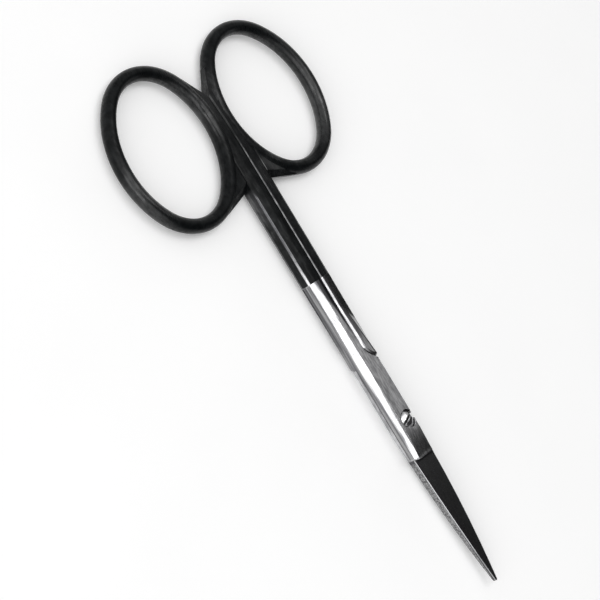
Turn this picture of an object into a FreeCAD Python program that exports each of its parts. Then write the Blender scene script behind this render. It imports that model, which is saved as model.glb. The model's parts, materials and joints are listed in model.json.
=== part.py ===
import FreeCAD, Part
import math
import os

# Small straight surgical scissors, closed, lying on the underside of their joint.
# Each half is one forging: a finger ring, a shank, one layer of the lapped joint and a blade.
# The lower half is the upper half turned half a circle about the length axis.
# X runs across, Y from the tips to the rings, Z up along the pivot.
# The origin is on the pivot axis, in the plane that the joint rests on.
# All sizes are in millimetres and all angles in degrees.

# Finger rings: an oval of four arcs, measured along the middle of the rod
RING_CENTRE_Y = 64.3
RING_HALF_LENGTH = 14.8
RING_HALF_WIDTH = 12.2
RING_END_RADIUS = 10.6
RING_TOE_IN = 7.1
RING_SPACE = 1.15
ROD_WIDTH = 2.7
ROD_HEIGHT = 3.1

# Shanks: two bars side by side, thickest at the slit between them
SLIT = 0.1
SHANK_SIDE = 3.0
SHANK_INNER_HEIGHT = 1.93
SHANK_OUTER_HEIGHT = 1.18
SHANK_EVEN_TO_Y = 36.0
NECK_Y = 24.0
NECK_INNER_HEIGHT = 1.83
NECK_OUTER_HEIGHT = 1.05

# Fork: the shank widens into the rod of its ring
FORK_ROOT_Y = 49.0
FORK_CORNER_Y = 51.0
FORK_PARTING_Y = 69.2
FORK_MIDDLE_HEIGHT = 1.62
FORK_TOP_HEIGHT = 0.5
FORK_EDGE_HEIGHT = 0.8
FLANK_EDGE_HEIGHT = 0.3
FLANK_ANGLE = 32.0

# Lapped joint: each half holds one layer, flat on its outside, with a bevel along its long side
JOINT_HEIGHT = 2.3
JOINT_BACK_Y = 10.5
JOINT_FRONT_Y = -2.6
JOINT_LONG_SIDE = 3.05
JOINT_SHORT_SIDE = 1.75
EDGE_BREAK = 0.2
RIDGE_NECK_X = 1.5
RIDGE_BACK_X = 2.2
RIDGE_FRONT_X = 2.3
BEVEL_BACK_HEIGHT = 0.95
BEVEL_FRONT_HEIGHT = 1.5
BEVEL_HEEL_HEIGHT = 1.05
SHOULDER_RADIUS = 4.3
SHOULDER_CENTRE_X = 4.2
SHOULDER_CENTRE_Y = 16.6
SHOULDER_SPACE = 0.15
INNER_EDGE_BREAK = 0.35

# Heel: the joint's layer ends here and the ground blade begins
HEEL_Y = -7.4
HEEL_HEIGHT = 1.85
HEEL_CORNER_RADIUS = 1.1
HEEL_LAP = 0.8

# Blades: a flat inner face, a ground outer face and a spine wall
TIP_Y = -34.5
SPINE_HEEL_X = 1.95
SPINE_MIDDLE_X = 1.47
SPINE_TIP_X = 0.36
EDGE_HEEL_X = 2.3
EDGE_MIDDLE_X = 1.46
EDGE_TIP_X = 0.26
GRIND_ANGLE = 20.6
EDGE_BEVEL_HEIGHT = 0.25
EDGE_BEVEL_WIDTH = 0.15
TIP_ROUND = 0.33
HOLLOW_DEPTH = 0.12
HOLLOW_RADIUS = 6.0

# Pivot screw and its seats
SCREW_RADIUS = 1.0
HEAD_RADIUS = 1.42
HEAD_RIM_HEIGHT = 0.34
HEAD_CROWN_HEIGHT = 0.26
SLOT_WIDTH = 0.42
SLOT_DEPTH = 0.36
SLOT_ANGLE = 22.0
RECESS_RADIUS = 1.8
RECESS_DEPTH = 0.72
PIVOT_CLEARANCE = 0.03
THREAD_CLEARANCE = 0.01

# How far a cutting tool runs past the metal
OVERRUN = 5.0
UP = FreeCAD.Vector(0, 0, 1)


def vec(x, y, z=0.0):
    """A point or a direction."""
    return FreeCAD.Vector(x, y, z)


def mix(start, end, share):
    """The value that lies the given share of the way from start to end."""
    return start + (end - start) * share


def turned(x, y, angle):
    """The point (x, y) turned anticlockwise about the origin."""
    turn = math.radians(angle)
    return x * math.cos(turn) - y * math.sin(turn), x * math.sin(turn) + y * math.cos(turn)


def prism(outline, bottom, top):
    """An upright prism over a plan outline of (x, y) points."""
    points = [vec(x, y, bottom) for x, y in outline]
    return Part.Face(Part.makePolygon(points + points[:1])).extrude(UP * (top - bottom))


def cylinder(radius, bottom, top, x=0.0, y=0.0):
    """An upright cylinder."""
    return Part.makeCylinder(radius, top - bottom, vec(x, y, bottom))


def section(y, outline):
    """A closed wire across the length axis, through (x, z) points."""
    points = [vec(x, y, z) for x, z in outline]
    return Part.makePolygon(points + points[:1])


def loft(wires, ruled):
    """A solid through cross sections."""
    return Part.makeLoft(wires, True, ruled)


def oval_arcs(half_length, half_width, end_radius):
    """The four arcs of an oval that is long in Y, as (centre x, centre y, radius, start angle, turn)."""
    end_reach = half_length - end_radius
    side_radius = (half_width ** 2 + end_reach ** 2 - end_radius ** 2) / (2 * (half_width - end_radius))
    side_reach = side_radius - half_width
    join = math.degrees(math.atan2(end_reach, side_reach))
    return [
        (-side_reach, 0, side_radius, -join, 2 * join),
        (0, end_reach, end_radius, join, 180 - 2 * join),
        (side_reach, 0, side_radius, 180 - join, 2 * join),
        (0, -end_reach, end_radius, 180 + join, 180 - 2 * join),
    ]


def ring_arcs():
    """The arcs of the upper half's ring, toed in and in place."""
    arcs = oval_arcs(RING_HALF_LENGTH, RING_HALF_WIDTH, RING_END_RADIUS)
    side_x, side_y = turned(arcs[0][0], arcs[0][1], -RING_TOE_IN)
    inner_reach = side_x + arcs[0][2]
    centre_x = -(inner_reach + ROD_WIDTH / 2 + RING_SPACE / 2)
    placed = []
    for x, y, radius, start, turn in arcs:
        turned_x, turned_y = turned(x, y, -RING_TOE_IN)
        placed.append((centre_x + turned_x, RING_CENTRE_Y + turned_y, radius, start - RING_TOE_IN, turn))
    return placed


def ring():
    """The rod of the finger ring: its elliptical section carried round each arc."""
    ellipse = Part.Ellipse(vec(0, ROD_HEIGHT / 2), vec(ROD_WIDTH / 2, 0), vec(0, 0))
    rod = Part.Face(Part.Wire([ellipse.toShape()]))
    rod.rotate(vec(0, 0), vec(1, 0), 90)
    spans = []
    for x, y, radius, start, turn in ring_arcs():
        end = rod.copy()
        end.translate(vec(radius, 0))
        end.rotate(vec(0, 0), UP, start)
        end.translate(vec(x, y))
        spans.append(end.revolve(vec(x, y), UP, turn))
    return spans[0].multiFuse(spans[1:]).removeSplitter()


def ring_hole(bottom, top):
    """The space inside the middle line of the rod."""
    edges = [Part.makeCircle(r, vec(x, y, bottom), UP, start, start + turn) for x, y, r, start, turn in ring_arcs()]
    return Part.Face(Part.Wire(edges)).extrude(UP * (top - bottom))


def tangent_point(arc, x, y, side):
    """Where a line from (x, y) touches the outside of the rod along an arc; side picks one of the two."""
    centre_x, centre_y, radius = arc[:3]
    outside = radius + ROD_WIDTH / 2
    reach_x = x - centre_x
    reach_y = y - centre_y
    angle = math.atan2(reach_y, reach_x) + side * math.acos(outside / math.hypot(reach_x, reach_y))
    return centre_x + outside * math.cos(angle), centre_y + outside * math.sin(angle)


def above_flank(end_x, end_y):
    """The room over the sloping flank that the fork turns to the tips, from the shank's corner to an end point."""
    corner = vec(-SHANK_SIDE, FORK_CORNER_Y)
    along = (vec(end_x, end_y) - corner).normalize()
    inward = along.cross(UP)
    slope = math.tan(math.radians(FLANK_ANGLE))
    start = corner - along * OVERRUN
    outline = [(-OVERRUN, FLANK_EDGE_HEIGHT - slope * OVERRUN), (OVERRUN, FLANK_EDGE_HEIGHT + slope * OVERRUN)]
    outline += [(OVERRUN, 2 * OVERRUN), (-OVERRUN, 2 * OVERRUN)]
    points = [start + inward * reach + UP * height for reach, height in outline]
    wedge = Part.Face(Part.makePolygon(points + points[:1])).extrude(along * (-end_x + OVERRUN))
    far = -SHANK_SIDE - RING_HALF_LENGTH
    beside = [(far, 0), (-SHANK_SIDE, 0), (-SHANK_SIDE, FORK_PARTING_Y), (far, FORK_PARTING_Y)]
    return wedge.common(prism(beside, 0, OVERRUN))


def fork():
    """The web that joins the shank to its ring, with the shank's crown carried on outward."""
    inner_side, _, _, bottom_end = ring_arcs()
    wall = -SLIT / 2
    top_x, top_y = tangent_point(inner_side, wall, FORK_PARTING_Y, 1)
    low_x, low_y = tangent_point(bottom_end, -SHANK_SIDE, FORK_CORNER_Y, -1)
    outline = [
        (wall, FORK_ROOT_Y),
        (wall, FORK_PARTING_Y),
        (top_x, top_y),
        (inner_side[0], RING_CENTRE_Y),
        (bottom_end[0], bottom_end[1]),
        (low_x, low_y),
        (-SHANK_SIDE, FORK_CORNER_Y),
        (-SHANK_SIDE, FORK_ROOT_Y),
    ]
    ring_top = RING_CENTRE_Y + RING_HALF_LENGTH
    crowns = []
    heights = (SHANK_INNER_HEIGHT, FORK_MIDDLE_HEIGHT, FORK_TOP_HEIGHT)
    for y, height in zip((FORK_ROOT_Y, RING_CENTRE_Y, ring_top), heights):
        outer_height = min(SHANK_OUTER_HEIGHT, height)
        upper = [(wall, height), (-SHANK_SIDE, outer_height), (low_x, min(FORK_EDGE_HEIGHT, height))]
        lower = [(x, -z) for x, z in reversed(upper)]
        crowns.append(section(y, upper + lower))
    height = max(SHANK_INNER_HEIGHT, ROD_HEIGHT) + OVERRUN
    web = loft(crowns, True).common(prism(outline, -height, height))
    above = above_flank(low_x, low_y)
    return web.cut(above).cut(above.mirror(vec(0, 0), UP)).cut(ring_hole(-height, height))


def shank_section(y, outer_height, inner_height):
    """The upper side of a shank, from the middle plane up, with its crown drawn on past the slit."""
    rise = (inner_height - outer_height) / (SHANK_SIDE - SLIT / 2)
    crown = [(x, outer_height + rise * (SHANK_SIDE + x)) for x in (-RIDGE_NECK_X, 0, JOINT_SHORT_SIDE)]
    return section(y, [(-SHANK_SIDE, 0), (-SHANK_SIDE, outer_height)] + crown + [(JOINT_SHORT_SIDE, 0)])


def joint_section(y, bevel_height, ridge_x, height, short_side=JOINT_SHORT_SIDE):
    """One layer of the joint, with the bevel along its long side and a broken edge along the other."""
    return section(y, [
        (-JOINT_LONG_SIDE, 0),
        (-JOINT_LONG_SIDE, bevel_height),
        (-ridge_x, height),
        (short_side - EDGE_BREAK, height),
        (short_side, height - EDGE_BREAK),
        (short_side, 0),
    ])


def shoulder(side, space):
    """The room that a shank and its rounded end take in one layer; side is 1 for the right and -1 for the left."""
    end = cylinder(SHOULDER_RADIUS + space, -OVERRUN, OVERRUN, side * SHOULDER_CENTRE_X, SHOULDER_CENTRE_Y)
    wall = side * (SLIT / 2 if space == 0 else -SLIT / 2)
    far = side * (SHOULDER_CENTRE_X + SHOULDER_RADIUS + OVERRUN)
    back = FORK_ROOT_Y + OVERRUN
    bar = prism([(wall, SHOULDER_CENTRE_Y), (far, SHOULDER_CENTRE_Y), (far, back), (wall, back)], -OVERRUN, OVERRUN)
    front = SHOULDER_CENTRE_Y - SHOULDER_RADIUS - OVERRUN
    beside = prism([(wall, front), (far, front), (far, back), (wall, back)], -OVERRUN, OVERRUN)
    return end.fuse(bar).common(beside)


def upper_layer():
    """The shank's upper side and the joint's upper layer, in one piece down to the heel."""
    body = loft([
        shank_section(FORK_ROOT_Y, SHANK_OUTER_HEIGHT, SHANK_INNER_HEIGHT),
        shank_section(SHANK_EVEN_TO_Y, SHANK_OUTER_HEIGHT, SHANK_INNER_HEIGHT),
        shank_section(NECK_Y, NECK_OUTER_HEIGHT, NECK_INNER_HEIGHT),
        joint_section(JOINT_BACK_Y, BEVEL_BACK_HEIGHT, RIDGE_BACK_X, JOINT_HEIGHT),
        joint_section(JOINT_FRONT_Y, BEVEL_FRONT_HEIGHT, RIDGE_FRONT_X, JOINT_HEIGHT),
        joint_section(HEEL_Y + HEEL_LAP, BEVEL_HEEL_HEIGHT, RIDGE_FRONT_X, HEEL_HEIGHT, SPINE_HEEL_X),
        joint_section(HEEL_Y, BEVEL_HEEL_HEIGHT, RIDGE_FRONT_X, HEEL_HEIGHT, SPINE_HEEL_X),
    ], True)
    corner_x = -JOINT_LONG_SIDE + HEEL_CORNER_RADIUS
    corner_y = HEEL_Y + HEEL_CORNER_RADIUS
    corner = prism([
        (corner_x, corner_y),
        (corner_x, HEEL_Y - OVERRUN),
        (-JOINT_LONG_SIDE - OVERRUN, HEEL_Y - OVERRUN),
        (-JOINT_LONG_SIDE - OVERRUN, corner_y),
    ], -OVERRUN, OVERRUN).cut(cylinder(HEEL_CORNER_RADIUS, -OVERRUN, OVERRUN, corner_x, corner_y))
    return body.cut(corner).cut(shoulder(1, SHOULDER_SPACE))


def lower_shank():
    """The shank's lower side, which ends in a rounded shoulder behind the joint."""
    body = loft([
        shank_section(FORK_ROOT_Y, SHANK_OUTER_HEIGHT, SHANK_INNER_HEIGHT),
        shank_section(SHANK_EVEN_TO_Y, SHANK_OUTER_HEIGHT, SHANK_INNER_HEIGHT),
        shank_section(NECK_Y, NECK_OUTER_HEIGHT, NECK_INNER_HEIGHT),
        joint_section(JOINT_BACK_Y, BEVEL_BACK_HEIGHT, RIDGE_BACK_X, JOINT_HEIGHT),
    ], True)
    below = body.mirror(vec(0, 0), UP)
    return below.common(shoulder(-1, 0))


def through(heel, middle, tip, y):
    """The height over y of the circle-like curve through the heel, the middle and the tip of the blade."""
    share = (HEEL_Y - y) / (HEEL_Y - TIP_Y)
    sag = middle - (heel + tip) / 2
    return mix(heel, tip, share) + 4 * sag * share * (1 - share)


def blade_section(y):
    """The blade's section: inner face down, ground face sloping from the spine to the cutting edge."""
    edge = -through(EDGE_HEEL_X, EDGE_MIDDLE_X, EDGE_TIP_X, y)
    spine = through(SPINE_HEEL_X, SPINE_MIDDLE_X, SPINE_TIP_X, y)
    slope = math.tan(math.radians(GRIND_ANGLE))
    bevel_end = edge + EDGE_BEVEL_WIDTH
    spine_height = EDGE_BEVEL_HEIGHT + slope * (spine - bevel_end)
    return section(y, [
        (edge, 0),
        (bevel_end, EDGE_BEVEL_HEIGHT),
        (spine - EDGE_BREAK, spine_height - slope * EDGE_BREAK),
        (spine, spine_height - EDGE_BREAK),
        (spine, 0),
    ])


def blade():
    """The blade from inside the heel to its rounded tip, with a hollow ground into its inner face."""
    stations = [mix(HEEL_Y, TIP_Y, share) for share in (0, 0.2, 0.4, 0.6, 0.8, 1)]
    root = Part.Face(blade_section(HEEL_Y)).extrude(vec(0, HEEL_LAP))
    body = loft([blade_section(y) for y in stations], False).fuse(root)
    left = -EDGE_TIP_X - OVERRUN
    right = SPINE_TIP_X + OVERRUN
    middle = (SPINE_TIP_X - EDGE_TIP_X) / 2
    round_y = TIP_Y + TIP_ROUND
    past = TIP_Y - OVERRUN
    beyond = prism([(left, round_y), (right, round_y), (right, past), (left, past)], -OVERRUN, OVERRUN)
    body = body.cut(beyond.cut(cylinder(TIP_ROUND, -OVERRUN, OVERRUN, middle, round_y)))
    start = vec((SPINE_HEEL_X - EDGE_HEEL_X) / 2, HEEL_Y, HOLLOW_DEPTH - HOLLOW_RADIUS)
    end = vec(middle, TIP_Y, -HOLLOW_RADIUS)
    hollow = Part.makeCylinder(HOLLOW_RADIUS, start.distanceToPoint(end), start, end - start)
    return body.cut(hollow)


def is_inner_edge(edge):
    """Whether an edge runs along the slit or round a shoulder, on the outside of the half."""
    points = [edge.valueAt(mix(edge.FirstParameter, edge.LastParameter, share)) for share in (0, 0.5, 1)]
    if min(abs(point.z) for point in points) < FORK_TOP_HEIGHT:
        return False
    if all(abs(point.x + SLIT / 2) < 0.01 for point in points):
        return True
    seats = ((SHOULDER_CENTRE_X, SHOULDER_RADIUS + SHOULDER_SPACE), (-SHOULDER_CENTRE_X, SHOULDER_RADIUS))
    for centre_x, radius in seats:
        centre = vec(centre_x, SHOULDER_CENTRE_Y)
        if all(abs(vec(point.x, point.y).distanceToPoint(centre) - radius) < 0.01 for point in points):
            return True
    return False


def half_blank():
    """One half before its pivot hole is bored, with the joint's parting face in the middle plane."""
    pieces = [lower_shank(), fork(), ring(), blade()]
    blank = upper_layer().multiFuse(pieces).removeSplitter()
    return blank.makeChamfer(INNER_EDGE_BREAK, [edge for edge in blank.Edges if is_inner_edge(edge)])


def upper_half(blank):
    """The half with the screw's round recess and a plain hole."""
    recess = cylinder(RECESS_RADIUS, JOINT_HEIGHT - RECESS_DEPTH, JOINT_HEIGHT + OVERRUN)
    hole = cylinder(SCREW_RADIUS + PIVOT_CLEARANCE, -OVERRUN, JOINT_HEIGHT + OVERRUN)
    return blank.cut(recess).cut(hole)


def lower_half(blank):
    """The half that the screw is threaded into."""
    half = blank.copy()
    half.rotate(vec(0, 0), vec(0, 1), 180)
    return half.cut(cylinder(SCREW_RADIUS + THREAD_CLEARANCE, -JOINT_HEIGHT - OVERRUN, OVERRUN))


def pivot_screw():
    """A low slotted head, crowned, on a straight shank that ends flush with the underside."""
    seat = JOINT_HEIGHT - RECESS_DEPTH
    rim = seat + HEAD_RIM_HEIGHT
    crown = rim + HEAD_CROWN_HEIGHT
    crown_radius = (HEAD_RADIUS ** 2 + HEAD_CROWN_HEIGHT ** 2) / (2 * HEAD_CROWN_HEIGHT)
    ball = Part.makeSphere(crown_radius, vec(0, 0, crown - crown_radius))
    head = cylinder(HEAD_RADIUS, seat, crown).common(ball)
    shank = cylinder(SCREW_RADIUS, -JOINT_HEIGHT, seat)
    corner = vec(-2 * HEAD_RADIUS, -SLOT_WIDTH / 2, crown - SLOT_DEPTH)
    slot = Part.makeBox(4 * HEAD_RADIUS, SLOT_WIDTH, SLOT_DEPTH, corner)
    slot.rotate(vec(0, 0), UP, SLOT_ANGLE)
    return head.fuse(shank).removeSplitter().cut(slot)


def save(shape, name):
    """Stand the piece on the joint's underside and write it."""
    placed = shape.copy()
    placed.translate(UP * JOINT_HEIGHT)
    placed.exportStep(os.path.join("parts", name + ".step"))
    box = placed.BoundBox
    print(name, placed.ShapeType, len(placed.Solids), placed.isValid(), round(placed.Volume, 2))
    print("  from", [round(v, 2) for v in (box.XMin, box.YMin, box.ZMin)])
    print("  to", [round(v, 2) for v in (box.XMax, box.YMax, box.ZMax)])


def main():
    """Build the three pieces."""
    os.makedirs("parts", exist_ok=True)
    blank = half_blank()
    save(upper_half(blank), "upper_half")
    save(lower_half(blank), "lower_half")
    save(pivot_screw(), "pivot_screw")


main()
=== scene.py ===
import json
import math

import bmesh
import bpy
from bpy.props import FloatProperty, FloatVectorProperty, IntProperty, PointerProperty
from mathutils import Matrix, Vector


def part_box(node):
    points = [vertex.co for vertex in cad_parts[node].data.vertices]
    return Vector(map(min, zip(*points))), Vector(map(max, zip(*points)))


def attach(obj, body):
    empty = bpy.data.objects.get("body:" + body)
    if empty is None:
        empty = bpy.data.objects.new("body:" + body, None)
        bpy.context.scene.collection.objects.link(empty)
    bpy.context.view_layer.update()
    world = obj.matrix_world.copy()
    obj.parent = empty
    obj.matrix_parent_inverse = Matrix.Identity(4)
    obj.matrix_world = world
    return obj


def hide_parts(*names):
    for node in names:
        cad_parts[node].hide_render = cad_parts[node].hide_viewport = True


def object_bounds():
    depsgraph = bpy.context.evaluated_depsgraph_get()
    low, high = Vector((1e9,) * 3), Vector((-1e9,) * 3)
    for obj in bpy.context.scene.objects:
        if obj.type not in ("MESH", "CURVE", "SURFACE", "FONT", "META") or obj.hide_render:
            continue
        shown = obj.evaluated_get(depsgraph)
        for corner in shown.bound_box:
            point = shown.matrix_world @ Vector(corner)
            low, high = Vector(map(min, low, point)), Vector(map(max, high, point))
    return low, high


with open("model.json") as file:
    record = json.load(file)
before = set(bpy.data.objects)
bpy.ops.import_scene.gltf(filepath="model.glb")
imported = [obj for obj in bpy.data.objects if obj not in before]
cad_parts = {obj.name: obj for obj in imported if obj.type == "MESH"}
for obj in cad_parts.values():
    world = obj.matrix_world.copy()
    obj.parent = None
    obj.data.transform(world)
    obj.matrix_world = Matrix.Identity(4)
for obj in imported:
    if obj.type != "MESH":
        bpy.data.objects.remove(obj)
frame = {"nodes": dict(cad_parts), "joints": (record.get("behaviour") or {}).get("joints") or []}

bl_info = {
    "name": "Surgical scissors",
    "version": (1, 0, 0),
    "blender": (4, 5, 0),
    "location": "3D View > Sidebar > Scissors",
    "description": "Dresses the packed halves and pivot screw of small straight surgical scissors",
    "category": "Object",
}

# The frame: X across, Y from the tips to the rings, Z up along the pivot, in metres
CAD_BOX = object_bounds()
SCREW_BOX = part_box("pivot_screw")
PARTING_HEIGHT = frame["joints"][0]["pos_m"][2]

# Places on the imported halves, in metres from the pivot
SHANK_SIDE = 0.003  # across: the shanks' outer walls
FLAT_EDGE_FRONT, FLAT_EDGE_BACK = 0.0023, 0.0022  # across: the two ends of the flat's long side
HEEL = -0.0076  # along: where the joint steps down to the blade
JOINT_FRONT, JOINT_BACK = -0.0026, 0.0105  # along: the two ends of the joint's flat
FORK_ROOT = 0.0495  # along: where the shanks begin to part
JOINT_HEIGHT = 0.0023  # off the parting: the joint's flat
SCREW_RADIUS = 0.001
HEAD_DROP = 129.0  # drop of the screw head's crown, per square metre off its axis

# Lines along the shanks and the joint, each by its places across and off the parting
RIDGE_LINE = (SHANK_SIDE, 0.00115)  # the edge between a shank's wall and its crown
BRINK_LINE = (SHANK_SIDE, 0.0009)  # just under that edge
CROWN_LINE = (0.00039, 0.00182)  # where the crown drops into the slit
SLIT_LINE = (0.0002, 0.0017)  # inside the slit
RIM_LINE = (0.00175, JOINT_HEIGHT)  # the short side of the joint's flat

# Meshes
WELD_DISTANCE = 0.0000005
FLAT_ANGLE = math.radians(0.15)
FLAT_FACE_WEIGHT = 90
THREAD_STEPS = 24  # on each turn
THREAD_SIDES = 3

# Materials
STRIP_CORE = 0.4  # share of a strip's width that is even
SPOT_CORE = 0.3  # share of a spot's radius that is even
FULL_SPECULAR = 0.08  # light that is reflected straight on at a specular level of 1
TURNED_RINGS = 2600.0  # per metre
# Painted shade in the screw's slot and beside its head
PAINTED_SLOT_SHADE = (0.03, 0.03, 0.03)
PAINTED_HIGHLIGHT_SPOTS = (  # place, radius and strength of each spot of painted highlight, where the coat reflects more
    ((0.026, 0.068, 0.002), 0.018, 1.0),
    ((-0.0235, 0.0585, 0.003), 0.0085, 1.8),
    ((-0.0045, 0.071, 0.002), 0.011, 1.3),
    ((0.0245, 0.0545, 0.002), 0.009, 1.5),
    ((0.004, 0.0517, 0.003), 0.0045, 3.0),
)

# The stage
FLOOR_REACH = 8  # from the middle to each side
FLOOR_GAP = 0.00002  # between the joint and the floor
FLOOR_GLOW = 0.12
KEY_SOFTBOX = ((-0.86, 0.02, 0.52), (0, 0.02, 0), (0.85, 0.66))  # place, aim and size
OVERHEAD_SOFTBOX = ((-0.22, 0.18, 1.0), (-0.22, 0.18, 0), (1.16, 0.5))


class EdgeSettings(bpy.types.PropertyGroup):
    """How the polishing wheel has rounded the edges"""

    radius: FloatProperty(
        name="Edge rounding",
        description="Width of the rounding along each edge of the halves and the screw",
        default=0.00007,
        min=0.00001,
        unit="LENGTH",
    )
    segments: IntProperty(
        name="Edge segments",
        description="Steps across each rounded edge",
        default=2,
        min=1,
        max=4,
    )
    sharpness: FloatProperty(
        name="Edge angle",
        description="Edges that turn by more than this are rounded",
        default=math.radians(24),
        subtype="ANGLE",
    )


class RoundingSettings(bpy.types.PropertyGroup):
    """The broad roundings that polishing leaves along the shanks"""

    ridge: FloatProperty(
        name="Ridge rounding",
        description="Reach of the rounding on both sides of each shank's upper edge",
        default=0.0003,
        min=0.00001,
        unit="LENGTH",
        precision=5,
    )
    slit: FloatProperty(
        name="Slit rounding",
        description="Reach of the roll-off from each shank's crown to the slit",
        default=0.0011,
        min=0.00001,
        unit="LENGTH",
        precision=5,
    )
    flat: FloatProperty(
        name="Flat rounding",
        description="Reach of the rounding between the joint's flat and its bevel",
        default=0.0004,
        min=0.00001,
        unit="LENGTH",
        precision=5,
    )
    rim: FloatProperty(
        name="Rim rounding",
        description="Reach of the rounding along the straight side of the joint's flat",
        default=0.00032,
        min=0.00001,
        unit="LENGTH",
        precision=5,
    )


class SteelSettings(bpy.types.PropertyGroup):
    """The polished steel of the blades, the joint and the lower shanks"""

    colour: FloatVectorProperty(
        name="Steel colour",
        description="Colour that the bare steel reflects",
        default=(0.74, 0.74, 0.75),
        subtype="COLOR",
        min=0,
        max=1,
    )
    shade: FloatVectorProperty(
        name="Steel shade",
        description="Colour of the duller patches in the polish",
        default=(0.38, 0.38, 0.39),
        subtype="COLOR",
        min=0,
        max=1,
    )
    side_colour: FloatVectorProperty(
        name="Side colour",
        description="Colour of the less polished side walls",
        default=(0.42, 0.42, 0.42),
        subtype="COLOR",
        min=0,
        max=1,
    )
    side_shade: FloatVectorProperty(
        name="Side shade",
        description="Colour of the dark streaks along the side walls",
        default=(0.16, 0.16, 0.17),
        subtype="COLOR",
        min=0,
        max=1,
    )
    # Colour of the painted shade and painted dark reflections on the bare steel
    painted_shade_colour: FloatVectorProperty(
        name="Fog colour",
        description="Colour of the steel in the corners that the polishing wheel has missed",
        default=(0.05, 0.05, 0.055),
        subtype="COLOR",
        min=0,
        max=1,
    )
    polish: FloatProperty(
        name="Polish roughness",
        description="Roughness where the steel shines most",
        default=0.11,
        min=0,
        max=1,
        subtype="FACTOR",
    )
    haze: FloatProperty(
        name="Haze roughness",
        description="Roughness in the duller patches",
        default=0.24,
        min=0,
        max=1,
        subtype="FACTOR",
    )
    line_depth: FloatProperty(
        name="Polishing line depth",
        description="Depth of the fine lines that polishing and grinding leave",
        default=0.0000012,
        min=0,
        unit="LENGTH",
        precision=7,
    )


class CoatSettings(bpy.types.PropertyGroup):
    """The black coat on the rings and the upper shanks"""

    colour: FloatVectorProperty(
        name="Coat colour",
        description="Colour of the black coat",
        default=(0.0022, 0.0027, 0.003),
        subtype="COLOR",
        min=0,
        max=1,
    )
    thin_colour: FloatVectorProperty(
        name="Thin coat colour",
        description="Colour where the coat lies thinner",
        default=(0.005, 0.006, 0.0065),
        subtype="COLOR",
        min=0,
        max=1,
    )
    roughness: FloatProperty(
        name="Coat roughness",
        description="Roughness of the coat's semi-gloss",
        default=0.29,
        min=0,
        max=1,
        subtype="FACTOR",
    )
    sheen: FloatProperty(
        name="Coat reflection",
        description="Share of the light straight on that the coat reflects",
        default=0.012,
        min=0,
        max=0.08,
        subtype="FACTOR",
        precision=3,
    )
    wear: FloatProperty(
        name="Coat wear",
        description="Width of the burnished strip along the shanks' edges",
        default=0.00026,
        min=0.00001,
        unit="LENGTH",
        precision=5,
    )
    start: FloatProperty(
        name="Coat start",
        description="Distance from the pivot to the coat's end on the shanks",
        default=0.0304,
        unit="LENGTH",
    )
    # Painted highlight: how many times more the coat reflects at the spots of painted highlight
    highlight_gain: FloatProperty(
        name="Coat burnish",
        description="How many times more the coat reflects where fingers have rubbed the rings",
        default=2.6,
        min=1,
    )
    grain_depth: FloatProperty(
        name="Coat grain depth",
        description="Depth of the coat's faint grain",
        default=0.000004,
        min=0,
        unit="LENGTH",
        precision=7,
    )


class ThreadSettings(bpy.types.PropertyGroup):
    """The screw's thread inside the lower half"""

    pitch: FloatProperty(
        name="Thread pitch",
        description="Distance from one turn to the next",
        default=0.0004,
        unit="LENGTH",
        precision=5,
    )
    depth: FloatProperty(
        name="Thread depth",
        description="Height of the thread's ridge over the shank",
        default=0.00012,
        unit="LENGTH",
        precision=5,
    )


class StudioSettings(bpy.types.PropertyGroup):
    """Floor, light and camera"""

    floor_colour: FloatVectorProperty(
        name="Floor colour",
        description="Colour of the plain pale floor",
        default=(0.95, 0.95, 0.95),
        subtype="COLOR",
        min=0,
        max=1,
    )
    key_level: FloatProperty(
        name="Key level",
        description="Brightness of the large softbox on the left",
        default=1.9,
        min=0,
    )
    overhead_level: FloatProperty(
        name="Overhead level",
        description="Brightness of the long softbox over the scissors",
        default=2.1,
        min=0,
    )
    room_level: FloatProperty(
        name="Room level",
        description="Brightness of the room on the left",
        default=0.78,
        min=0,
    )
    window_level: FloatProperty(
        name="Window level",
        description="Brightness of the room's two low windows on the right",
        default=1.3,
        min=0,
    )
    camera_place: FloatVectorProperty(
        name="Camera place",
        description="Where the camera stands",
        default=(-0.24738, 0.04662, 0.25245),
        subtype="TRANSLATION",
        unit="LENGTH",
    )
    camera_aim: FloatVectorProperty(
        name="Camera aim",
        description="The point on the floor in the middle of the view",
        default=(-0.00359, 0.0289, 0.0),
        subtype="TRANSLATION",
        unit="LENGTH",
    )
    camera_roll: FloatProperty(
        name="Camera roll",
        description="How far the camera is turned about its line of sight",
        default=math.radians(61.86),
        subtype="ANGLE",
    )
    camera_lens: FloatProperty(
        name="Camera lens",
        description="Focal length on a 36 mm sensor",
        default=114.98,
        unit="CAMERA",
    )


def add_mesh(name, geometry):
    """An object with the geometry of a bmesh, at the origin."""
    mesh = bpy.data.meshes.new(name)
    geometry.to_mesh(mesh)
    geometry.free()
    piece = bpy.data.objects.new(name, mesh)
    bpy.context.scene.collection.objects.link(piece)
    return piece


def merged_copy(node, name):
    """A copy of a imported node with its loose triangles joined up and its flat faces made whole."""
    geometry = bmesh.new()
    geometry.from_mesh(frame["nodes"][node].data)
    bmesh.ops.remove_doubles(geometry, verts=geometry.verts, dist=WELD_DISTANCE)
    bmesh.ops.dissolve_limit(
        geometry,
        angle_limit=FLAT_ANGLE,
        verts=geometry.verts,
        edges=geometry.edges,
    )
    return add_mesh(name, geometry)


def round_edges(piece, settings, share=1.0):
    """Rounds the sharp edges by a share of the set width and shades the rest smoothly."""
    for polygon in piece.data.polygons:
        polygon.use_smooth = True
    bevel = piece.modifiers.new("rounded_edges", "BEVEL")
    bevel.limit_method = "ANGLE"
    bevel.angle_limit = settings.sharpness
    bevel.offset_type = "WIDTH"
    bevel.width = share * settings.radius
    bevel.segments = settings.segments
    bevel.use_clamp_overlap = False
    weighted = piece.modifiers.new("flat_faces", "WEIGHTED_NORMAL")
    weighted.weight = FLAT_FACE_WEIGHT


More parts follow.
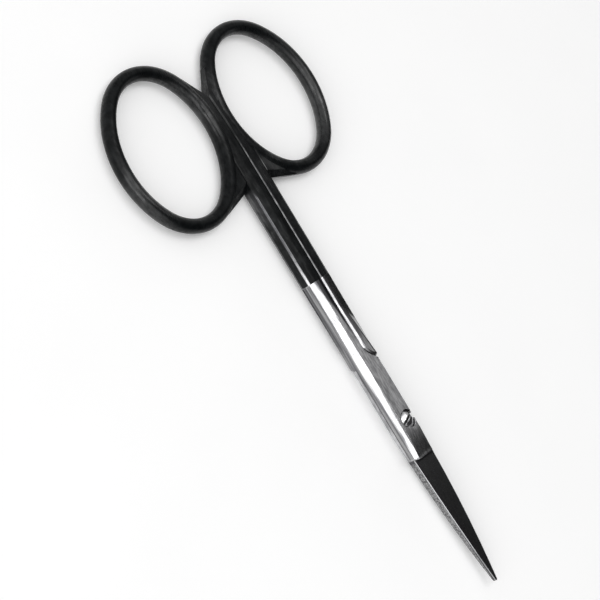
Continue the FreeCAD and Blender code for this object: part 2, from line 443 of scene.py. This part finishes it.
def new_material(name):
    """An empty node material with its output and shader."""
    material = bpy.data.materials.new(name)
    material.use_nodes = True
    tree = material.node_tree
    tree.nodes.clear()
    output = tree.nodes.new("ShaderNodeOutputMaterial")
    shader = tree.nodes.new("ShaderNodeBsdfPrincipled")
    tree.links.new(shader.outputs["BSDF"], output.inputs["Surface"])
    return material, tree, shader


def feed(tree, value, socket):
    """Links a socket to another one, or sets it to a plain number or colour."""
    if isinstance(value, bpy.types.NodeSocket):
        tree.links.new(value, socket)
    elif isinstance(value, (int, float)):
        socket.default_value = value
    else:
        socket.default_value = (*value, 1.0)


def worked_out(tree, operation, *values):
    """The result of one Math node on sockets or plain numbers."""
    node = tree.nodes.new("ShaderNodeMath")
    node.operation = operation
    for value, socket in zip(values, node.inputs):
        feed(tree, value, socket)
    return node.outputs[0]


def summed(tree, first, second, scale=1.0):
    """first plus scale times second."""
    return worked_out(tree, "MULTIPLY_ADD", second, scale, first)


def scaled(tree, first, *factors):
    """first times each of the factors."""
    for factor in factors:
        first = worked_out(tree, "MULTIPLY", first, factor)
    return first


def spread(tree, value, low, high, start=0.0, end=1.0, smooth=False):
    """The value stretched from low..high to start..end, and level beyond them."""
    node = tree.nodes.new("ShaderNodeMapRange")
    node.interpolation_type = "SMOOTHSTEP" if smooth else "LINEAR"
    node.inputs["From Min"].default_value = low
    node.inputs["From Max"].default_value = high
    node.inputs["To Min"].default_value = start
    node.inputs["To Max"].default_value = end
    tree.links.new(value, node.inputs["Value"])
    return node.outputs["Result"]


def band(tree, value, middle, inner, outer, level=1.0):
    """The level within the inner distance of the middle, 0 beyond the outer one."""
    distance = worked_out(tree, "ABSOLUTE", summed(tree, value, -middle))
    return spread(tree, distance, inner, outer, level, 0)


def mixed(tree, kind, share, first, second):
    """What lies between two values of a kind, "Float" or "Color", by the share."""
    node = tree.nodes.new("ShaderNodeMix")
    node.data_type = {"Float": "FLOAT", "Color": "RGBA"}[kind]
    sockets = {socket.identifier: socket for socket in (*node.inputs, *node.outputs)}
    tree.links.new(share, node.inputs["Factor"])
    feed(tree, first, sockets["A_" + kind])
    feed(tree, second, sockets["B_" + kind])
    return sockets["Result_" + kind]


def blended(tree, share, first, second):
    """A number that goes from first to second with the share; both are sockets or plain numbers."""
    return mixed(tree, "Float", share, first, second)


def blended_colour(tree, share, first, second):
    """A colour that goes from first to second with the share; both are sockets or plain colours."""
    return mixed(tree, "Color", share, first, second)


def darker(colour, share):
    """A plain colour with each channel brought down to a share."""
    return [share * channel for channel in colour]


def grains(tree, point, rate, detail=3.0, distortion=0.0):
    """Noise at a point of the object, with a number of grains per metre along each axis."""
    mapping = tree.nodes.new("ShaderNodeMapping")
    mapping.inputs["Scale"].default_value = rate
    tree.links.new(point, mapping.inputs["Vector"])
    noise = tree.nodes.new("ShaderNodeTexNoise")
    noise.inputs["Scale"].default_value = 1.0
    noise.inputs["Detail"].default_value = detail
    noise.inputs["Distortion"].default_value = distortion
    tree.links.new(mapping.outputs["Vector"], noise.inputs["Vector"])
    return noise.outputs["Fac"]


def near(tree, point, spot, radius):
    """1 round a spot, 0 beyond the radius."""
    distance = tree.nodes.new("ShaderNodeVectorMath")
    distance.operation = "DISTANCE"
    tree.links.new(point, distance.inputs[0])
    distance.inputs[1].default_value = spot
    return spread(tree, distance.outputs["Value"], SPOT_CORE * radius, radius, 1, 0, True)


def bumped(tree, height, depth, under=None):
    """The normal of a relief, its height in shares of the depth, over another one if given."""
    bump = tree.nodes.new("ShaderNodeBump")
    bump.inputs["Strength"].default_value = 1.0
    bump.inputs["Distance"].default_value = depth
    tree.links.new(height, bump.inputs["Height"])
    if under:
        tree.links.new(under, bump.inputs["Normal"])
    return bump.outputs["Normal"]


class Place:
    """Where a point lies on a piece, in sockets: across, along and up are X, Y and Z."""

    def __init__(self, tree):
        self.point = tree.nodes.new("ShaderNodeTexCoord").outputs["Object"]
        split = tree.nodes.new("ShaderNodeSeparateXYZ")
        tree.links.new(self.point, split.inputs["Vector"])
        self.across, self.along, self.up = (split.outputs[axis] for axis in "XYZ")


class HalfPlace(Place):
    """A place on a half, where each is the other one turned round and one finish suits both."""

    def __init__(self, tree):
        super().__init__(tree)
        self.over = summed(tree, self.up, -PARTING_HEIGHT)
        self.wide = worked_out(tree, "ABSOLUTE", self.across)
        self.deep = worked_out(tree, "ABSOLUTE", self.over)
        # X as seen from outside: as it is over the parting, and turned round under it
        self.outward = scaled(tree, self.across, worked_out(tree, "SIGN", self.over))


def off_line(tree, place, line):
    """The distance from the nearest of the lines along Y that a pair of sizes places."""
    wide, deep = line
    join = tree.nodes.new("ShaderNodeCombineXYZ")
    tree.links.new(worked_out(tree, "SUBTRACT", place.wide, wide), join.inputs["X"])
    tree.links.new(worked_out(tree, "SUBTRACT", place.deep, deep), join.inputs["Z"])
    distance = tree.nodes.new("ShaderNodeVectorMath")
    distance.operation = "LENGTH"
    tree.links.new(join.outputs["Vector"], distance.inputs[0])
    return distance.outputs["Value"]


def strip(tree, place, line, width):
    """1 on a line along Y, 0 beyond the width."""
    return spread(tree, off_line(tree, place, line), STRIP_CORE * width, width, 1, 0, True)


def rounding(tree, place, line, width, slope):
    """The drop of the surface towards a line along Y, in metres, with the given slope on it."""
    inside = spread(tree, off_line(tree, place, line), 0, width, 1, 0)
    return scaled(tree, inside, inside, -0.5 * slope * width)


def coat_cover(tree, place, coat):
    """1 under the coat and 0 on the bare steel, with a slightly uneven line between them."""
    edge = summed(tree, place.along, grains(tree, place.point, (900, 900, 900), 2.0), 0.00016)
    return spread(tree, edge, coat.start + 0.00006, coat.start + 0.0001, 0, 1, True)


def edge_wear(tree, place, coat):
    """Where the coat is rubbed bright: along the shanks' edges and on their walls by the fork."""
    along = place.along
    ridge = strip(tree, place, RIDGE_LINE, 1.5 * coat.wear)
    # More so near the steel, and not past the fork
    ridge = scaled(tree, ridge, spread(tree, along, 0.03, FORK_ROOT, 2.4, 1.2))
    ridge = scaled(tree, ridge, spread(tree, along, FORK_ROOT - 0.001, FORK_ROOT + 0.0005, 1, 0))
    slit = strip(tree, place, SLIT_LINE, 0.7 * coat.wear)
    slit = scaled(tree, slit, spread(tree, along, 0.03, 0.07, 0.55, 0.25))
    wall = band(tree, place.wide, SHANK_SIDE, 0.00003, 0.00012)
    wall = scaled(tree, wall, spread(tree, along, FORK_ROOT - 0.01, FORK_ROOT, 0.05, 0.5))
    past = spread(tree, along, FORK_ROOT + 0.0002, FORK_ROOT + 0.0017, 1, 0, True)
    return summed(tree, summed(tree, ridge, slit), scaled(tree, wall, past))


def painted_highlight_spots(tree, place):
    """How much the coat's reflection is raised at the spots of painted highlight."""
    painted_highlight = 0.0
    for spot, radius, strength in PAINTED_HIGHLIGHT_SPOTS:
        painted_highlight = summed(tree, painted_highlight, near(tree, place.point, spot, radius), strength)
    return painted_highlight


def coat_finish(tree, place, coat):
    """The coat's colour, roughness, reflection and grain, and the mottle that its wear follows."""
    grain = grains(tree, place.point, (2600, 2600, 2600))
    mottle = spread(tree, grains(tree, place.point, (700, 700, 700)), 0.4, 0.7)
    drawn = spread(tree, grains(tree, place.point, (2600, 420, 2600), 4.0, 0.4), 0.35, 0.7)
    # Painted highlight: at these spots the coat reflects more and is less rough
    painted_highlight = painted_highlight_spots(tree, place)
    colour = blended_colour(tree, mottle, coat.colour, coat.thin_colour)
    roughness = spread(tree, drawn, 0, 1, coat.roughness + 0.1, coat.roughness - 0.04)
    roughness = summed(tree, roughness, painted_highlight, -0.045)
    level = coat.sheen / FULL_SPECULAR
    sheen = spread(tree, summed(tree, drawn, mottle, 0.6), 0, 1.4, 0.65 * level, 1.5 * level)
    sheen = scaled(tree, sheen, summed(tree, 1.0, painted_highlight, coat.highlight_gain - 1))
    return colour, roughness, sheen, grain, mottle


def painted_shade_on_steel(tree, place, coat, cloud, side):
    """Where the steel is painted dark: painted shade in its corners and painted dark reflections on
    its crowns.
    """
    along, outward = place.along, place.outward
    # On one crown: a painted dark reflection in a wedge along the slit that widens towards the coat,
    # and a painted shadow of the slit in a strip beside it
    slant = summed(tree, summed(tree, outward, along, 0.2), cloud, 0.0003)
    wedge = spread(tree, slant, 0.0036, 0.0045, 0, 0.85, True)
    beside = spread(tree, outward, -0.0008, -0.0005, 0, 0.75)
    beside = scaled(tree, beside, spread(tree, along, 0.016, 0.02))
    crown = summed(tree, wedge, beside)
    crown = scaled(tree, crown, spread(tree, outward, -0.0001, 0.0, 1, 0))
    # A painted dark reflection on the crown across the slit, all of it but its edge
    across = spread(tree, outward, 0.0004, 0.0007, 0, 0.6)
    across = scaled(tree, across, spread(tree, along, 0.015, 0.018))
    # Painted shade at the step at the heel, where the joint's flat drops to the blade
    heel = band(tree, along, HEEL, 0.0002, 0.0005, 0.75)
    heel = scaled(tree, heel, spread(tree, outward, -0.0019, -0.0015))
    # Painted shade along the foot of the joint's side wall, by the parting
    foot = scaled(tree, spread(tree, place.deep, 0.0001, 0.00035, 0.8, 0), side)
    foot = scaled(tree, foot, spread(tree, along, JOINT_BACK, JOINT_BACK + 0.002, 1, 0))
    # Painted shade along the brink under the ridge of the bare shank, up to the coat
    brink = strip(tree, place, BRINK_LINE, 0.00024)
    brink = scaled(tree, brink, spread(tree, along, 0.018, 0.026, 0, 0.55))
    brink = scaled(tree, brink, spread(tree, along, coat.start - 0.0004, coat.start, 1, 0))
    painted_dark = crown
    for spot in (across, heel, foot, brink):
        painted_dark = summed(tree, painted_dark, spot)
    return painted_dark


def steel_finish(tree, place, steel, coat):
    """The bare steel's colour with its painted shade and painted dark reflections, its roughness and
    polishing lines.
    """
    point, along = place.point, place.along
    on_blade = spread(tree, along, HEEL, HEEL + 0.0004, 1, 0)
    side = spread(tree, place.wide, SHANK_SIDE - 0.00015, SHANK_SIDE - 0.00004)
    side = scaled(tree, side, spread(tree, along, coat.start - 0.0002, coat.start, 1, 0))

    cloud = spread(tree, grains(tree, point, (420, 160, 420), 4.0, 0.6), 0.38, 0.66)
    fine = spread(tree, grains(tree, point, (3000, 700, 3000), 4.0), 0.36, 0.64)
    patches = summed(tree, scaled(tree, cloud, 0.5), fine, 0.7)
    streaks = spread(tree, grains(tree, point, (2500, 110, 5200)), 0.35, 0.65)
    flecks = spread(tree, grains(tree, point, (5600, 2800, 5600), 2.0), 0.36, 0.6)
    streaks = blended(tree, on_blade, streaks, spread(tree, flecks, 0, 1, 0.5, 0.75))

    # Polishing leaves lines along the joint and shanks, grinding finer ones across the blades
    polished = grains(tree, point, (9000, 260, 9000), 2.0)
    ground = scaled(tree, grains(tree, point, (700, 12000, 700), 2.0), 0.12)
    lines = blended(tree, on_blade, polished, ground)
    specks = grains(tree, point, (3200, 2400, 3200), 2.0)
    specks = scaled(tree, specks, blended(tree, on_blade, 0.15, 0.0))
    relief = summed(tree, lines, specks)

    dull = blended_colour(tree, streaks, steel.side_colour, steel.side_shade)
    bright = blended_colour(tree, patches, steel.colour, steel.shade)
    bright = blended_colour(tree, scaled(tree, on_blade, 0.85), bright, dull)
    colour = blended_colour(tree, side, bright, dull)

    # The lower blade's margin, which shows beside the upper one when they are closed
    margin = spread(tree, summed(tree, place.across, along, 0.0587), -0.0023, -0.0019, 0.9, 0)
    margin = scaled(tree, margin, spread(tree, place.over, -0.00015, 0, 1, 0), on_blade)
    pitted = blended_colour(tree, flecks, steel.side_colour, darker(steel.side_shade, 0.4))
    colour = blended_colour(tree, margin, colour, pitted)
    # Painted shade in the corners and painted dark reflections on the crowns
    painted_dark = painted_shade_on_steel(tree, place, coat, cloud, side)
    colour = blended_colour(tree, painted_dark, colour, steel.painted_shade_colour)

    polish = spread(tree, summed(tree, cloud, lines, 0.5), 0.1, 1.3, steel.polish, steel.haze)
    polish = blended(tree, on_blade, polish, steel.polish)
    dullness = spread(tree, streaks, 0, 1, steel.haze, steel.haze + 0.14)
    roughness = blended(tree, side, polish, dullness)
    return colour, roughness, relief


def broad_roundings(tree, place, rounded, covered):
    """The drop of the broad roundings that are too shallow to be worth faces, in metres."""
    along, outward = place.along, place.outward
    ridge = scaled(tree, rounding(tree, place, RIDGE_LINE, rounded.ridge, 1.0), covered)
    slit = rounding(tree, place, CROWN_LINE, rounded.slit, 0.6)
    slit = scaled(tree, slit, spread(tree, along, 0.016, 0.026))
    slit = scaled(tree, slit, spread(tree, outward, 0.0, 0.0001, 1, 0.2))
    # The long side of the joint's flat leans, so its line's place across depends on the one along
    brow = spread(tree, along, JOINT_FRONT, JOINT_BACK, FLAT_EDGE_FRONT, FLAT_EDGE_BACK)
    flat = rounding(tree, place, (brow, JOINT_HEIGHT), rounded.flat, 0.5)
    rim = rounding(tree, place, RIM_LINE, rounded.rim, 0.7)
    rim = scaled(tree, rim, spread(tree, outward, 0, 0.0001))
    joint = scaled(tree, summed(tree, flat, rim), spread(tree, along, 0.003, 0.0108, 1, 0, True))
    return summed(tree, summed(tree, slit, joint), ridge)


def half_finish(steel, coat, rounded, name):
    """Polished steel from the tips up to the coat, and the black coat from there to the rings."""
    material, tree, shader = new_material(name)
    place = HalfPlace(tree)
    covered = coat_cover(tree, place, coat)
    steel_colour, steel_roughness, relief = steel_finish(tree, place, steel, coat)
    coat_colour, coat_roughness, sheen, grain, mottle = coat_finish(tree, place, coat)
    shape = bumped(tree, broad_roundings(tree, place, rounded, covered), 1.0)

    # Worn through, the coat thins out to a fifth
    worn = summed(tree, edge_wear(tree, place, coat), mottle, -0.3)
    coated = scaled(tree, covered, spread(tree, worn, 0, 0.9, 1, 0.2))
    depth = blended(tree, coated, steel.line_depth / coat.grain_depth, 1.0)
    height = scaled(tree, blended(tree, coated, relief, grain), depth)
    feed(tree, blended_colour(tree, coated, steel_colour, coat_colour), shader.inputs["Base Color"])
    feed(tree, spread(tree, coated, 0, 1, 1, 0), shader.inputs["Metallic"])
    feed(tree, blended(tree, coated, steel_roughness, coat_roughness), shader.inputs["Roughness"])
    feed(tree, sheen, shader.inputs["Specular IOR Level"])
    feed(tree, bumped(tree, height, coat.grain_depth, shape), shader.inputs["Normal"])
    return material


def screw_finish(steel, name):
    """Turned steel with fine rings round the screw's axis, with painted shade in the slot and beside
    the head.
    """
    material, tree, shader = new_material(name)
    place = Place(tree)
    rings = tree.nodes.new("ShaderNodeTexWave")
    rings.wave_type = "RINGS"
    rings.rings_direction = "Z"
    rings.inputs["Scale"].default_value = TURNED_RINGS
    rings.inputs["Distortion"].default_value = 1.5
    rings.inputs["Detail"].default_value = 2.0
    tree.links.new(place.point, rings.inputs["Vector"])
    cloud = spread(tree, grains(tree, place.point, (900, 900, 900)), 0.35, 0.7)

    # How far the head's crown has dropped from its middle, and what lies deeper than that, which
    # gets painted shade
    off_axis = scaled(tree, place.across, place.across)
    off_axis = summed(tree, off_axis, scaled(tree, place.along, place.along))
    drop = scaled(tree, off_axis, HEAD_DROP)
    level = summed(tree, place.up, drop)
    face = spread(tree, level, SCREW_BOX[1].z - 0.0001, SCREW_BOX[1].z - 0.00005)
    bright = blended_colour(tree, cloud, steel.colour, steel.shade)
    # Painted shade in the slot and beside the head
    feed(tree, blended_colour(tree, face, PAINTED_SLOT_SHADE, bright), shader.inputs["Base Color"])
    feed(tree, spread(tree, face, 0, 1, 0.5, 0.2), shader.inputs["Roughness"])
    shader.inputs["Metallic"].default_value = 1.0
    # The head is worn rounder than its faces and leans a little
    worn = summed(tree, scaled(tree, drop, -0.3), place.across, 0.3)
    turned = summed(tree, rings.outputs["Fac"], cloud, 0.5)
    relief = bumped(tree, turned, steel.line_depth, bumped(tree, worn, 1.0))
    feed(tree, relief, shader.inputs["Normal"])
    return material


def dress_half(context, node, name, body):
    """One half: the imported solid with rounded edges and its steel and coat."""
    scene = context.scene
    piece = merged_copy(node, name)
    round_edges(piece, scene.scissor_edges)
    finish = half_finish(
        scene.scissor_steel, scene.scissor_coat, scene.scissor_rounding, name + "_finish"
    )
    piece.data.materials.append(finish)
    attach(piece, body)
    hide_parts(node)


class SCISSORS_OT_upper_half(bpy.types.Operator):
    """Dress the half with the screw's recess"""

    bl_idname = "scissors.upper_half"
    bl_label = "Upper half"

    def execute(self, context):
        dress_half(context, "upper_half", "upper_forging", "upper")
        return {"FINISHED"}


class SCISSORS_OT_lower_half(bpy.types.Operator):
    """Dress the half that holds the screw"""

    bl_idname = "scissors.lower_half"
    bl_label = "Lower half"

    def execute(self, context):
        dress_half(context, "lower_half", "lower_forging", "lower")
        return {"FINISHED"}


class SCISSORS_OT_pivot_screw(bpy.types.Operator):
    """Dress the slotted pivot screw"""

    bl_idname = "scissors.pivot_screw"
    bl_label = "Pivot screw"

    def execute(self, context):
        scene = context.scene
        piece = merged_copy("pivot_screw", "slotted_screw")
        round_edges(piece, scene.scissor_edges, 0.5)
        piece.data.materials.append(screw_finish(scene.scissor_steel, "screw_finish"))
        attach(piece, "lower")
        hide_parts("pivot_screw")
        return {"FINISHED"}


def thread_tree():
    """A node tree that carries a ridge along a helix round the screw's axis."""
    tree = bpy.data.node_groups.new("screw_thread_ridge", "GeometryNodeTree")
    tree.interface.new_socket("Geometry", in_out="INPUT", socket_type="NodeSocketGeometry")
    for name in ("Turns", "Radius", "Rise", "Start Height", "Ridge"):
        tree.interface.new_socket(name, in_out="INPUT", socket_type="NodeSocketFloat")
    tree.interface.new_socket("Finish", in_out="INPUT", socket_type="NodeSocketMaterial")
    tree.interface.new_socket("Geometry", in_out="OUTPUT", socket_type="NodeSocketGeometry")
    given = tree.nodes.new("NodeGroupInput")
    helix = tree.nodes.new("GeometryNodeCurveSpiral")
    helix.inputs["Resolution"].default_value = THREAD_STEPS
    for socket, source in (
        ("Rotations", "Turns"),
        ("Start Radius", "Radius"),
        ("End Radius", "Radius"),
        ("Height", "Rise"),
    ):
        tree.links.new(given.outputs[source], helix.inputs[socket])
    lift = tree.nodes.new("ShaderNodeCombineXYZ")
    tree.links.new(given.outputs["Start Height"], lift.inputs["Z"])
    raised = tree.nodes.new("GeometryNodeTransform")
    tree.links.new(helix.outputs["Curve"], raised.inputs["Geometry"])
    tree.links.new(lift.outputs["Vector"], raised.inputs["Translation"])
    ridge = tree.nodes.new("GeometryNodeCurvePrimitiveCircle")
    ridge.inputs["Resolution"].default_value = THREAD_SIDES
    tree.links.new(given.outputs["Ridge"], ridge.inputs["Radius"])
    swept = tree.nodes.new("GeometryNodeCurveToMesh")
    swept.inputs["Fill Caps"].default_value = True
    tree.links.new(raised.outputs["Geometry"], swept.inputs["Curve"])
    tree.links.new(ridge.outputs["Curve"], swept.inputs["Profile Curve"])
    real = tree.nodes.new("GeometryNodeRealizeInstances")
    tree.links.new(swept.outputs["Mesh"], real.inputs["Geometry"])
    finished = tree.nodes.new("GeometryNodeSetMaterial")
    tree.links.new(real.outputs["Geometry"], finished.inputs["Geometry"])
    tree.links.new(given.outputs["Finish"], finished.inputs["Material"])
    result = tree.nodes.new("NodeGroupOutput")
    tree.links.new(finished.outputs["Geometry"], result.inputs["Geometry"])
    return tree


def made_by_nodes(name, tree, values):
    """The plain mesh that a node tree makes with the given input values."""
    carrier = add_mesh(name + "_carrier", bmesh.new())
    modifier = carrier.modifiers.new(name, "NODES")
    modifier.node_group = tree
    for item in tree.interface.items_tree:
        if item.item_type == "SOCKET" and item.in_out == "INPUT" and item.name in values:
            modifier[item.identifier] = values[item.name]
    graph = bpy.context.evaluated_depsgraph_get()
    mesh = bpy.data.meshes.new_from_object(carrier.evaluated_get(graph))
    bpy.data.objects.remove(carrier)
    piece = bpy.data.objects.new(name, mesh)
    bpy.context.scene.collection.objects.link(piece)
    return piece


class SCISSORS_OT_screw_thread(bpy.types.Operator):
    """Cut the thread that holds the screw in the lower half"""

    bl_idname = "scissors.screw_thread"
    bl_label = "Screw thread"

    def execute(self, context):
        thread = context.scene.scissor_thread
        low = SCREW_BOX[0].z + 1.2 * thread.pitch
        high = PARTING_HEIGHT - thread.pitch
        piece = made_by_nodes("screw_thread", thread_tree(), {
            "Turns": (high - low) / thread.pitch,
            "Radius": SCREW_RADIUS,
            "Rise": high - low,
            "Start Height": low,
            "Ridge": thread.depth,
            "Finish": screw_finish(context.scene.scissor_steel, "thread_finish"),
        })
        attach(piece, "lower")
        return {"FINISHED"}


def add_softbox(name, place, aim, size, level):
    """A large soft lamp at a place, facing an aim, with a radiance of the given level."""
    width, height = size
    data = bpy.data.lights.new(name, "AREA")
    data.shape = "RECTANGLE"
    data.size = width
    data.size_y = height
    data.energy = level * math.pi * width * height
    lamp = bpy.data.objects.new(name, data)
    lamp.location = place
    lamp.rotation_euler = (Vector(aim) - Vector(place)).to_track_quat("-Z", "Y").to_euler()
    bpy.context.scene.collection.objects.link(lamp)


def add_floor(colour):
    """A plain floor just under the joint, wide enough to reach the horizon."""
    geometry = bmesh.new()
    level = CAD_BOX[0][2] - FLOOR_GAP
    corners = [
        geometry.verts.new((FLOOR_REACH * x, FLOOR_REACH * y, level))
        for x, y in ((-1, -1), (1, -1), (1, 1), (-1, 1))
    ]
    geometry.faces.new(corners)
    floor = add_mesh("floor", geometry)
    material, tree, shader = new_material("floor_paper")
    point = tree.nodes.new("ShaderNodeTexCoord").outputs["Object"]
    shade = spread(tree, grains(tree, point, (40, 40, 40)), 0.3, 0.7)
    paper = blended_colour(tree, shade, colour, darker(colour, 0.985))
    feed(tree, paper, shader.inputs["Base Color"])
    shader.inputs["Roughness"].default_value = 0.9
    shader.inputs["Specular IOR Level"].default_value = 0.1
    # The paper glows a little for the camera and in the steel, so that the background is near white
    path = tree.nodes.new("ShaderNodeLightPath")
    seen = summed(tree, path.outputs["Is Camera Ray"], path.outputs["Is Glossy Ray"])
    feed(tree, scaled(tree, seen, FLOOR_GLOW), shader.inputs["Emission Strength"])
    floor.data.materials.append(material)


def light_room(level, window_level):
    """The room: bright on the left, darker on the right, where it has two low windows."""
    world = bpy.data.worlds.new("studio")
    bpy.context.scene.world = world
    world.use_nodes = True
    tree = world.node_tree
    tree.nodes.clear()
    output = tree.nodes.new("ShaderNodeOutputWorld")
    background = tree.nodes.new("ShaderNodeBackground")
    tree.links.new(background.outputs["Background"], output.inputs["Surface"])
    split = tree.nodes.new("ShaderNodeSeparateXYZ")
    direction = tree.nodes.new("ShaderNodeTexCoord").outputs["Generated"]
    tree.links.new(direction, split.inputs["Vector"])
    # Each runs from -1 to 1: left to right, tips to rings, and floor to ceiling
    across, along, up = (split.outputs[axis] for axis in "XYZ")

    walls = spread(tree, across, -0.5, 0.1, level, 0.75 * level, True)
    walls = blended(tree, spread(tree, across, 0.32, 0.72, 0, 1, True), walls, 0.56 * level)
    # Low on the right it is dark
    on_right = spread(tree, across, 0.15, 0.4, 0, 1, True)
    rising = spread(tree, up, 0.3, 0.64, 0.07, 1, True)
    walls = scaled(tree, walls, blended(tree, on_right, 1.0, rising))
    # Beyond the tips it is dark, but for the far left
    off_left = spread(tree, across, -0.5, -0.2, 0, 1, True)
    before = spread(tree, summed(tree, along, across, 0.05), -0.18, -0.09, 0.06, 1, True)
    walls = scaled(tree, walls, blended(tree, off_left, 1.0, before))
    # The windows: low on the far right, one towards the rings and one beyond the tips
    low = spread(tree, across, 0.45, 0.75, 0, 1, True)
    low = scaled(tree, low, spread(tree, up, 0.2, 0.45, 1, 0, True))
    rings_end = spread(tree, along, 0.03, 0.13, 0, 1, True)
    tips_end = spread(tree, along, -0.42, -0.3, 1, 0, True)
    windows = scaled(tree, low, summed(tree, rings_end, tips_end), window_level)
    feed(tree, summed(tree, walls, windows), background.inputs["Strength"])
    background.inputs["Color"].default_value = (1, 1, 1, 1)


def place_camera(settings):
    """The camera at the photograph's viewing angle."""
    data = bpy.data.cameras.new("camera")
    data.sensor_width = 36
    data.lens = settings.camera_lens
    data.clip_start = 0.01
    data.clip_end = 50
    camera = bpy.data.objects.new("camera", data)
    place = Vector(settings.camera_place)
    turn = (Vector(settings.camera_aim) - place).to_track_quat("-Z", "Y").to_matrix()
    turn = turn @ Matrix.Rotation(settings.camera_roll, 3, "Z")
    camera.matrix_world = Matrix.Translation(place) @ turn.to_4x4()
    bpy.context.scene.collection.objects.link(camera)
    bpy.context.scene.camera = camera


class SCISSORS_OT_studio(bpy.types.Operator):
    """Set the floor, the light and the camera"""

    bl_idname = "scissors.studio"
    bl_label = "Studio"

    def execute(self, context):
        studio = context.scene.scissor_studio
        add_floor(studio.floor_colour)
        light_room(studio.room_level, studio.window_level)
        add_softbox("key_softbox", *KEY_SOFTBOX, studio.key_level)
        add_softbox("overhead_softbox", *OVERHEAD_SOFTBOX, studio.overhead_level)
        place_camera(studio)
        context.scene.view_settings.view_transform = "Standard"
        return {"FINISHED"}


class SCISSORS_PT_sidebar(bpy.types.Panel):
    """Sizes, colours and pieces of the scissors"""

    bl_label = "Surgical scissors"
    bl_idname = "SCISSORS_PT_sidebar"
    bl_space_type = "VIEW_3D"
    bl_region_type = "UI"
    bl_category = "Scissors"

    def draw(self, context):
        layout = self.layout
        for group, operators in LISTED:
            box = layout.box()
            settings = getattr(context.scene, group)
            for name in settings.__annotations__:
                box.prop(settings, name)
            for operator in operators:
                box.operator(operator)


LISTED = (
    ("scissor_edges", ()),
    ("scissor_rounding", ()),
    ("scissor_coat", ()),
    ("scissor_steel", ("scissors.upper_half", "scissors.lower_half", "scissors.pivot_screw")),
    ("scissor_thread", ("scissors.screw_thread",)),
    ("scissor_studio", ("scissors.studio",)),
)
SETTINGS = {
    "scissor_edges": EdgeSettings,
    "scissor_rounding": RoundingSettings,
    "scissor_coat": CoatSettings,
    "scissor_steel": SteelSettings,
    "scissor_thread": ThreadSettings,
    "scissor_studio": StudioSettings,
}
CLASSES = (
    *SETTINGS.values(),
    SCISSORS_OT_upper_half,
    SCISSORS_OT_lower_half,
    SCISSORS_OT_pivot_screw,
    SCISSORS_OT_screw_thread,
    SCISSORS_OT_studio,
    SCISSORS_PT_sidebar,
)


def register():
    """Register the classes and hang the settings on the scene."""
    for kind in CLASSES:
        bpy.utils.register_class(kind)
    for name, kind in SETTINGS.items():
        setattr(bpy.types.Scene, name, PointerProperty(type=kind))


def unregister():
    """Take the settings off the scene and unregister the classes."""
    for name in SETTINGS:
        delattr(bpy.types.Scene, name)
    for kind in reversed(CLASSES):
        bpy.utils.unregister_class(kind)


def main():
    """Make every piece and the stage."""
    register()
    bpy.ops.scissors.upper_half()
    bpy.ops.scissors.lower_half()
    bpy.ops.scissors.pivot_screw()
    bpy.ops.scissors.screw_thread()
    bpy.ops.scissors.studio()


if __name__ == "__main__":
    main()
